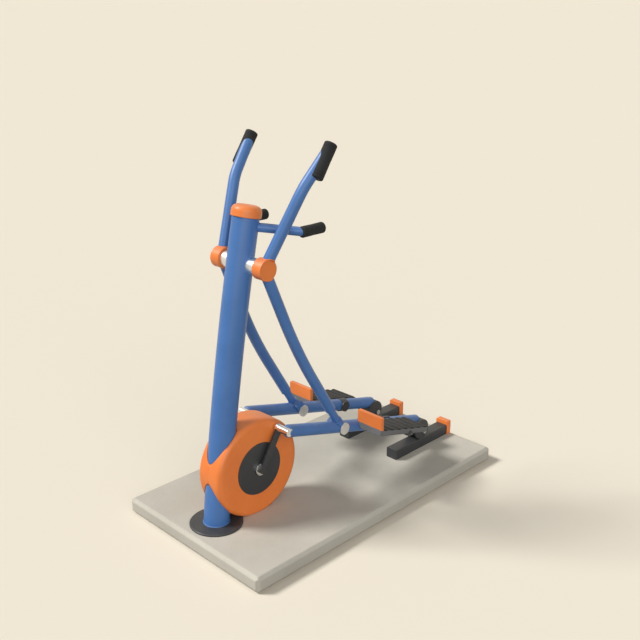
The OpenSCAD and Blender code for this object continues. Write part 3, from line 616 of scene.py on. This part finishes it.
def tray_shell():
    """Pan whose section runs along v, with both ends closed. Its underside is carved later."""
    hug = [math.radians(HUG_ANGLE * k / HUG_STEPS) for k in range(HUG_STEPS + 1)]
    outline = [
        (TRAY_OUT - 0.002, 0), (TRAY_OUT, 0.002), (TRAY_OUT, TRAY_TOP - 0.003),
        (TRAY_OUT - 0.001, TRAY_TOP - 0.001), (TRAY_OUT - 0.003, TRAY_TOP),
        (TRAY_IN + 0.001, TRAY_TOP)]
    outline += [(HUG_R * math.cos(a), HUG_R * math.sin(a)) for a in reversed(hug)]
    shrinks = (
        (TRAY_FRONT, 0.0015), (TRAY_FRONT + 0.0015, 0),
        (TRAY_BACK - 0.003, 0), (TRAY_BACK - 0.001, 0.001), (TRAY_BACK, 0.003))
    outer_from, upper_from = 0.1, 0.02
    return rings(bmesh.new(), [
        [on_bar(u - (shrink if u > outer_from else 0), v, w - (shrink if w > upper_from else 0))
         for u, w in outline] for v, shrink in shrinks])


def hollow():
    """What is carved out of the tray's underside."""
    near, far = HUG_R + 0.005, TRAY_OUT - TRAY_WALL
    low, high = -0.01, TRAY_TOP - TRAY_WALL
    return rings(bmesh.new(), [
        [on_bar(near, v, low), on_bar(far, v, low), on_bar(far, v, high), on_bar(near, v, high)]
        for v in (TRAY_FRONT + TRAY_WALL, TRAY_BACK - TRAY_WALL)])


def carve(made, cutter):
    """Takes the cutter away from the piece for good."""
    cut = made.modifiers.new("hollow", "BOOLEAN")
    cut.operation = "DIFFERENCE"
    cut.solver = "EXACT"
    cut.object = cutter
    evaluated = made.evaluated_get(bpy.context.evaluated_depsgraph_get())
    result = bpy.data.meshes.new_from_object(evaluated)
    made.modifiers.clear()
    made.data = result
    bpy.data.objects.remove(cutter)


def tray_tread():
    """Row of rounded rubber ribs across the tray, whose ends show on its outer side."""
    first, last, count = 0.483, 0.779, 7
    half_w, half_h, points = 0.0128, 0.0056, 28
    end_share, side_flatness, top_flatness = 0.86, 0.72, 0.85
    ends = ((TRAY_IN + 0.002, end_share), (TRAY_IN + 0.004, 1.0),
            (TRAY_OUT - 0.0026, 1.0), (TRAY_OUT - 0.0004, end_share))
    section = []
    for i in range(points):
        c, s = math.cos(2 * math.pi * i / points), math.sin(2 * math.pi * i / points)
        section.append((half_w * math.copysign(abs(c) ** side_flatness, c),
                        half_h * math.copysign(abs(s) ** top_flatness, s)))
    mesh = bmesh.new()
    for k in range(count):
        middle = first + (last - first) * k / (count - 1)
        rings(mesh, [[on_bar(u, middle + v * share, TRAY_TOP + w * share) for v, w in section]
                     for u, share in ends])
    return mesh


def tray_mat():
    """Thin mat that the ribs stand on, from the toe guard to the tray's rear edge."""
    inner, outer, edge = TRAY_IN + 0.0016, TRAY_OUT - 0.0022, 0.0008
    low, stands = TRAY_TOP - 0.002, 0.0012
    loops = []
    for v, shrink in ((0.4640, 0.0008), (0.4648, 0),
                      (TRAY_BACK - 0.0045, 0), (TRAY_BACK - 0.0035, 0.001)):
        high = TRAY_TOP + stands - shrink
        loops.append([
            on_bar(inner, v, low), on_bar(outer, v, low), on_bar(outer, v, high - edge),
            on_bar(outer - edge, v, high), on_bar(inner + edge, v, high),
            on_bar(inner, v, high - edge)])
    return rings(bmesh.new(), loops)


def bar_clamp():
    """Band bent round the foot bar's inner side, where the bar that carries the tray passes."""
    middle, half_w, inside, thick, edge = 0.668, 0.0215, 0.0286, 0.0044, 0.001
    start, end, steps, tip = 78, 282, 32, 0.001
    loops = []
    for k in range(steps + 1):
        a = math.radians(start + (end - start) * k / steps)
        lip = tip if k in (0, steps) else 0
        section = (
            (-half_w, 0), (-half_w + lip, thick - edge - lip), (-half_w + edge, thick - lip),
            (half_w - edge, thick - lip), (half_w - lip, thick - edge - lip), (half_w, 0))
        loops.append([
            on_bar(math.cos(a) * (inside + up), middle + along, math.sin(a) * (inside + up))
            for along, up in section])
    return rings(bmesh.new(), loops)


for hand, side in hands():
    body = hand + "_foot_bar_body"
    shell = piece(hand + "_tray_shell", tray_shell(), body, "black_polymer", side, tray_grey)
    carve(shell, shape("cutter", hollow(), tray_grey, side))
    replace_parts(shell, hand + "_tray")
    piece(hand + "_tray_tread", tray_tread(), body, "black_polymer", side, tread_black)
    piece(hand + "_tray_mat", tray_mat(), body, "black_polymer", side, mat_black)
    piece(hand + "_bar_clamp", bar_clamp(), body, "black_paint", side)
